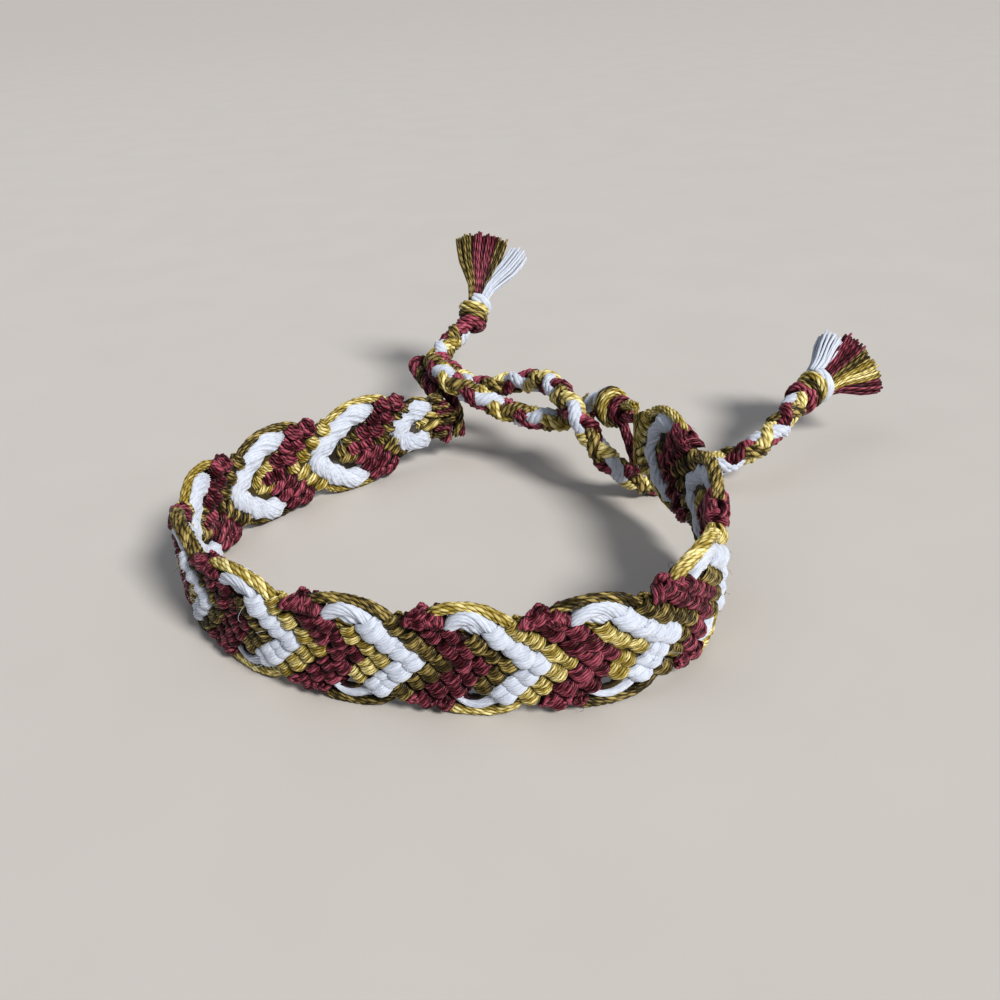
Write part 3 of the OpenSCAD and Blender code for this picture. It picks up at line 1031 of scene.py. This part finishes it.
# The sheet inside the knots: how much of the band's thickness it keeps, how far its edges
# are drawn in, and how near to each other the band's points are welded
SHEET_SHARE = 0.42
SHEET_EDGE = 0.8
SHEET_WELD = 0.005 * MM


def knot_shaded_tints():
    """The place of each knot, with the colour of the strings inside it, darkened as painted shade."""
    knots = [(motif, *knot) for motif in range(len(MOTIFS)) for knot in knots_of(motif)]
    spots = np.array([on_band(motif, s, v, 0) - BOX_MIDDLE for motif, _, s, v, _, _ in knots])
    return spots, np.array([SHADED_STRING_COLOURS[knot[1]] for knot in knots])


def draw_in(form):
    """Draw a form of the band in to a thin sheet, and tint it like the knots that cover it, darkened as painted shade.
    """
    places = np.arange(BEGIN_PLACE - 1, FINISH_PLACE + 1, 0.1)
    line = np.array([centre_line(place)[:2] for place in places]) - BOX_MIDDLE[:2]
    spots, shaded_tints = knot_shaded_tints()
    layer = form.verts.layers.float_color.new("shaded_string_colour")
    for vert in form.verts:
        point = np.array(vert.co) / MM
        nearest = int(np.argmin(np.sum((line - point[:2]) ** 2, axis=1)))
        middle = line[nearest]
        height = MIDDLE_Z + lift_at(places[nearest])
        half = half_height(places[nearest]) - SHEET_EDGE
        level = max(height - half, min(height + half, point[2]))
        drawn = middle + (point[:2] - middle) * SHEET_SHARE
        vert.co = Vector((drawn[0], drawn[1], level)) * MM
        knot = int(np.argmin(np.sum((spots - point) ** 2, axis=1)))
        vert[layer] = (*shaded_tints[knot], 1)


def inner_strings():
    """The strings inside the knots: the part's own band, drawn in to a sheet that the knots cover, in colours darkened
    as painted shade.
    """
    mesh = frame["nodes"]["band"].data.copy()
    mesh.name = "inner_strings"
    form = bmesh.new()
    form.from_mesh(mesh)
    bmesh.ops.remove_doubles(form, verts=form.verts, dist=SHEET_WELD)
    bmesh.ops.subdivide_edges(form, edges=form.edges, cuts=1, use_grid_fill=True)
    draw_in(form)
    form.to_mesh(mesh)
    form.free()
    mesh.materials.clear()
    mesh.materials.append(inner_finish("inner_strings"))
    mesh.polygons.foreach_set("material_index", [0] * len(mesh.polygons))
    mesh.shade_smooth()
    return finished("inner_strings", mesh, "burgundy_floss", "band")


def stray_fibres(colour, count, radius):
    """Fine fibres that stand off the band's knots in one colour."""
    plies = Plies(COLOUR_NAMES[colour] + "_stray_fibres", (colour,), 0)
    knots = [(m, *knot) for m in range(len(MOTIFS)) for knot in knots_of(m) if knot[0] == colour]
    shares = np.linspace(0, 1, 6)[:, None]
    for _ in range(count):
        motif, _, s, v, _, _ = rng.choice(knots)
        face = rng.choice((1, 1, -1))
        begin = on_band(motif, s + rng.uniform(-0.9, 0.9), v + rng.uniform(-0.6, 0.6), face * 0.8)
        out = on_band(motif, s, v, face) - on_band(motif, s, v, 0)
        drift = np.array([rng.gauss(0, 1), rng.gauss(0, 1), rng.gauss(0, 0.8)])
        curl = np.array([rng.gauss(0, 1), rng.gauss(0, 1), rng.gauss(0, 1)])
        length = rng.uniform(0.4, 1.3)
        rise = out * np.sin(shares * 2.0) * 0.5 * length
        points = begin + rise + (0.55 * drift * shares + 0.35 * curl * np.sin(3 * shares)) * length
        plies.add(points, radius, colour)
    return plies.piece(COLOUR_NAMES[colour] + "_floss")


# Ties, knots and tassels

# The braid: the length in which a strand goes once round it, half a strand's width, how far
# strands lie from the middle line, how much farther out one is where it passes over another,
# and the length in which a strand's own plies turn once
BRAID_TURN = 7.6
STRAND_REACH = 0.88
STRAND_RING = 0.62
STRAND_CROSSING = 0.20
STRAND_TWIST = 4.5


def braided_tie(name, route, order, node):
    """Four strands in four colours that cross over and under round the tie's line.

    It gives the piece, and the line in metres for the cord.
    """
    plies = Plies(name, (BURGUNDY, WHITE, GOLD, OLIVE))
    path = evened(smooth(route, 8), 0.52)
    first, second = sides_of(path)
    swing = 2 * math.pi * run_along(path) / BRAID_TURN
    over = np.cos(2 * (swing - math.pi / 4))
    for k, colour in enumerate(order):
        way = 1 if k % 2 == 0 else -1
        angle = way * swing + (k // 2) * math.pi + (0 if way > 0 else math.pi / 2)
        ring = STRAND_RING + way * STRAND_CROSSING * over
        line = path + (ring * np.cos(angle))[:, None] * first + (ring * np.sin(angle))[:, None] * second
        bundle(plies, line, STRAND_REACH, colour, count=6, turn=way * STRAND_TWIST)
    piece = plies.piece("olive_floss", node)
    return piece, (path - BOX_MIDDLE) * MM


# How far a stopper knot's turns lie from its middle, and how far one moves along the knot
STOPPER_RING = 1.38
STOPPER_LEAD = 0.7


def stopper_turns(name, at, direction, turns, node):
    """A stopper knot: the tie's four strands wound round it, each in a plane of its own tilt."""
    plies = Plies(name, (BURGUNDY, WHITE, GOLD, OLIVE))
    along, side, up = axes_round(direction)
    for colour, offset, reach, tilt, begin, sweep in turns:
        points = []
        for u in np.linspace(0, 1, 34):
            angle = begin + 2 * math.pi * sweep * u
            ring = STOPPER_RING * math.sin(math.pi * (0.07 + 0.86 * u)) ** 0.30
            slide = offset + STOPPER_LEAD * (u - 0.5) + tilt * math.sin(angle)
            away = math.cos(angle) * side + math.sin(angle) * up
            points.append(np.array(at) + along * slide + ring * away)
        bundle(plies, np.array(points), reach, colour, count=7, turn=7.0, reference=along)
    return plies.piece("gold_floss", node)


# A lock's plies, how wide they spread and half the width of one, in white and in the other
# colours. Then how far the locks' foot is from the knot's middle, and the angle between plies.
WHITE_LOCK = (32, 1.40, 0.19)
OTHER_LOCK = (24, 0.95, 0.165)
TASSEL_ROOT = 1.7
SPIRAL_STEP = 2.4


def tassel_locks(name, at, direction, locks, root_spread, node):
    """The cut floss beyond a stopper knot: each lock a sheaf of plies that spread to their ends."""
    plies = Plies(name, (BURGUNDY, WHITE, GOLD, OLIVE))
    along = unit(np.array(direction))
    foot = np.array(at) + along * TASSEL_ROOT
    for tip, colour in locks:
        tip = np.array(tip)
        lean = unit(tip - foot)
        lean = lean - along * (lean @ along)
        root = foot + root_spread * lean / max(np.linalg.norm(lean), 0.45)
        reach = np.linalg.norm(tip - root)
        heading, side, up = axes_round(tip - root)
        bend = unit(along + heading)
        count, full, thick = WHITE_LOCK if colour == WHITE else OTHER_LOCK
        for k in range(count):
            angle = SPIRAL_STEP * k
            spread = full * math.sqrt((k + 0.5) / count)
            fan = spread * (math.cos(angle) * side + math.sin(angle) * up)
            cut = rng.uniform(-0.3, 0.3)
            wave = rng.uniform(-0.12, 0.12)
            route = (
                root + 0.5 * fan,
                root + bend * reach * 0.30 + 0.7 * fan,
                root + heading * reach * 0.66 + 0.95 * fan + wave * side,
                tip + heading * cut + 1.05 * fan,
            )
            plies.add(smooth(route, 2), thick, colour, blunt=True)
    return plies.piece("burgundy_floss", node)


# The loop: its strands' colours, how far they lie from its line, half their width and their turn
LOOP_STRANDS = (BURGUNDY, OLIVE, BURGUNDY)
LOOP_RING = 0.42
LOOP_REACH = 0.56
LOOP_TURN = 7.0


def beginning_loop():
    """The loop of floss at the beginning: three thin strands twisted together."""
    plies = Plies("beginning_loop", (BURGUNDY, OLIVE))
    path = evened(smooth(START_LOOP_ROUTE, 6), 0.4)
    first, second = sides_of(path)
    for k, colour in enumerate(LOOP_STRANDS):
        angle = 2 * math.pi * (run_along(path) / LOOP_TURN + k / len(LOOP_STRANDS))
        away = np.cos(angle)[:, None] * first + np.sin(angle)[:, None] * second
        bundle(plies, path + LOOP_RING * away, LOOP_REACH, colour, count=6, turn=4.0)
    return plies.piece("burgundy_floss", "start_loop")


# The finishing knot: its place and direction, then each turn's colour, place along the knot,
# distance from its middle and half width, places along its core, and how often a turn goes round
KNOT_AT = np.array([13.9, 2.0, 11.1])
KNOT_DIR = (0.52, -0.83, 0.10)
FINISHING_TURNS = (
    (WHITE, -1.15, 1.35, 0.50), (OLIVE, -0.55, 1.55, 0.62),
    (GOLD, 0.25, 1.55, 0.66), (BURGUNDY, 1.5, 1.00, 0.72),
)
FINISHING_CORE = (-1.6, -0.8, 0.2, 1.2, 2.1)
FINISHING_SWEEP = 1.2


def finishing_knot():
    """The last strings run beside the end of the band and gather into a fat knot round the tie."""
    plies = Plies("finishing_knot", (BURGUNDY, WHITE, GOLD, OLIVE))
    along, side, up = axes_round(KNOT_DIR)
    for k, (colour, place, ring, reach) in enumerate(FINISHING_TURNS):
        points = []
        for u in np.linspace(0, 1, 32):
            angle = 1.9 * k + 2 * math.pi * FINISHING_SWEEP * u
            slide = place + 0.5 * (u - 0.5)
            out = ring * (1 + 0.12 * math.sin(angle + k))
            away = math.cos(angle) * side + 1.12 * math.sin(angle) * up
            points.append(KNOT_AT + along * slide + out * away)
        bundle(plies, np.array(points), reach, colour, count=8, turn=7.0, reference=along)
    core = np.array([KNOT_AT + along * run for run in FINISHING_CORE])
    plies.add(core, 1.1, OLIVE, blunt=True)
    for colour, route, reach in finishing_runs(along):
        path = evened(smooth(route, 6), 0.4)
        bundle(plies, path, reach, colour, count=7, turn=6.0, reference=(0, 1, 0.2))
    return plies.piece("gold_floss", "end_wrap")


def finishing_runs(along):
    """The strings between the end of the band and its knot: colour, route and half width."""
    edge = at_place(FINISH_PLACE + 0.85, 0, 0)
    top = edge + (0, 0, FINISH_HEIGHT / 2 - 0.6)
    foot = edge - (0, 0, FINISH_HEIGHT / 2 - 0.6)
    halfway = (KNOT_AT + top) / 2
    return (
        (GOLD, (KNOT_AT + along * 1.6 + (0, 0, 0.2), halfway + (0.5, -0.5, 0.5), top), 0.60),
        (BURGUNDY, (KNOT_AT + along * 1.8 - (0, 0, 0.4), halfway - (0, 0, 1.2), top - (0, 0, 1.4)), 0.55),
        (GOLD, (top, edge + (0, 0, 1.5), edge - (0, 0, 1.2), foot), 0.34),
        (BURGUNDY, (KNOT_AT + along - (0, 0, 1.0), (15.0, -0.2, 9.0), (15.5, -2.0, 7.2), foot), 0.62),
    )


# Camera, light and floor

CAMERA_AT = Vector((6.15, -98.8, 58.8)) * MM
CAMERA_TO = Vector((6.15, 5.73, 0.9)) * MM
CAMERA_ROLL = 4.0

# The way that the main light runs, and in metres the place of the lamp and the floor's radius
SUN_WAY = (-0.50, 0.62, -0.66)
LAMP_AT = (-0.25, 0.10, 0.75)
FLOOR_RADIUS = 9.0


def set_camera():
    """The camera at the photo's angle, rolled a little as the photo is."""
    data = bpy.data.cameras.new("camera")
    data.lens = 36
    data.sensor_width = 36
    data.clip_start = 0.005
    camera = placed("camera", data)
    look = (CAMERA_TO - CAMERA_AT).to_track_quat("-Z", "Y").to_matrix()
    camera.location = CAMERA_AT
    camera.rotation_euler = (look @ Matrix.Rotation(math.radians(-CAMERA_ROLL), 3, "Z")).to_euler()
    bpy.context.scene.camera = camera


def room():
    """A pale room: dim even light for the bracelet, and a plain pale wall for the camera."""
    world = bpy.data.worlds.new("studio")
    bpy.context.scene.world = world
    world.use_nodes = True
    tree = world.node_tree
    light = tree.nodes["Background"]
    light.inputs["Color"].default_value = (0.88, 0.92, 1.0, 1)
    light.inputs["Strength"].default_value = 0.24
    wall = tree.nodes.new("ShaderNodeBackground")
    wall.inputs["Color"].default_value = (0.50, 0.48, 0.455, 1)
    rays = tree.nodes.new("ShaderNodeLightPath")
    seen = tree.nodes.new("ShaderNodeMixShader")
    link(tree, rays, "Is Camera Ray", seen, "Fac")
    tree.links.new(light.outputs["Background"], seen.inputs[1])
    tree.links.new(wall.outputs["Background"], seen.inputs[2])
    link(tree, seen, "Shader", tree.nodes["World Output"], "Surface")


def lights():
    """Soft light from the upper right behind the camera, and a faint lamp above the bracelet."""
    data = bpy.data.lights.new("key_light", "SUN")
    data.energy = 3.1
    data.angle = math.radians(16)
    data.color = (1.0, 0.97, 0.93)
    key = placed("key_light", data)
    key.rotation_euler = Vector(SUN_WAY).to_track_quat("-Z", "Y").to_euler()

    data = bpy.data.lights.new("sky_light", "AREA")
    data.shape = "DISK"
    data.size = 0.7
    data.energy = 0.5
    data.color = (0.90, 0.95, 1.0)
    lamp = placed("sky_light", data)
    lamp.location = LAMP_AT
    lamp.rotation_euler = (-Vector(LAMP_AT)).to_track_quat("-Z", "Y").to_euler()


def pale_floor():
    """A wide plain disc that the bracelet stands on."""
    form = bmesh.new()
    bmesh.ops.create_circle(form, cap_ends=True, cap_tris=True, segments=64, radius=FLOOR_RADIUS)
    mesh = bpy.data.meshes.new("floor")
    form.to_mesh(mesh)
    form.free()
    mesh.shade_smooth()
    mesh.materials.append(floor_finish())
    floor = placed("floor", mesh)
    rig.stage(floor)


# The scene

set_camera()
room()
lights()
pale_floor()
bpy.context.scene.view_settings.view_transform = "Standard"
bpy.context.scene.view_settings.look = "Medium High Contrast"

# The ties with their stopper knots and tassels
tie_start, tie_start_line = braided_tie(
    "tie_start_braid", TIE_START_ROUTE, (WHITE, BURGUNDY, OLIVE, GOLD), "tie_start")
tie_end, tie_end_line = braided_tie(
    "tie_end_braid", TIE_END_ROUTE, (BURGUNDY, WHITE, GOLD, OLIVE), "tie_end")
knot_start = stopper_turns(
    "stopper_knot_start_turns", KNOT_START_AT, KNOT_START_DIR, STOPPER_START, "stopper_knot_start")
knot_end = stopper_turns(
    "stopper_knot_end_turns", KNOT_END_AT, KNOT_END_DIR, STOPPER_END, "stopper_knot_end")
locks_start = tassel_locks(
    "tassel_start_locks", KNOT_START_AT, KNOT_START_DIR, TASSEL_START, TASSEL_START_SPREAD, "tassel_start")
locks_end = tassel_locks(
    "tassel_end_locks", KNOT_END_AT, KNOT_END_DIR, TASSEL_END, TASSEL_END_SPREAD, "tassel_end")
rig.cord(tie_start, exit=tie_start_line[0], length=run_along(tie_start_line)[-1], diameter=TIE_D * MM,
        far_end="knot", stiffness="medium", lay="loose", path=tie_start_line,
        with_pieces=[knot_start, locks_start])
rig.cord(tie_end, exit=tie_end_line[0], length=run_along(tie_end_line)[-1], diameter=TIE_D * MM,
        far_end="knot", stiffness="medium", lay="loose", path=tie_end_line,
        with_pieces=[knot_end, locks_end])

# The band
inner_strings()
row_of_knots("burgundy_knots", (1,), (BURGUNDY,))
row_of_knots("burgundy_knot_backs", (-1,), (BURGUNDY,))
edge_wraps()
row_of_knots("white_knots", (1, -1), (WHITE,))
row_of_knots("gold_knots", (1, -1), (GOLD,))
row_of_knots("olive_knots", (1, -1), (OLIVE,))
white_floats()
white_backs()
start_strings()
eyelet_strings(GOLD)
eyelet_strings(OLIVE)
edge_arcs(GOLD)
edge_arcs(OLIVE)

# What is joined to the band's ends, and the fibres that stand off it
beginning_loop()
finishing_knot()
stray_fibres(WHITE, 420, 0.016)
stray_fibres(BURGUNDY, 120, 0.014)
stray_fibres(GOLD, 70, 0.014)
stray_fibres(OLIVE, 70, 0.014)

with open("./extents.json", "w") as sizes:
    json.dump({"cad": [list(c) for c in cad_box], "visual": [list(c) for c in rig.bounds()]}, sizes)
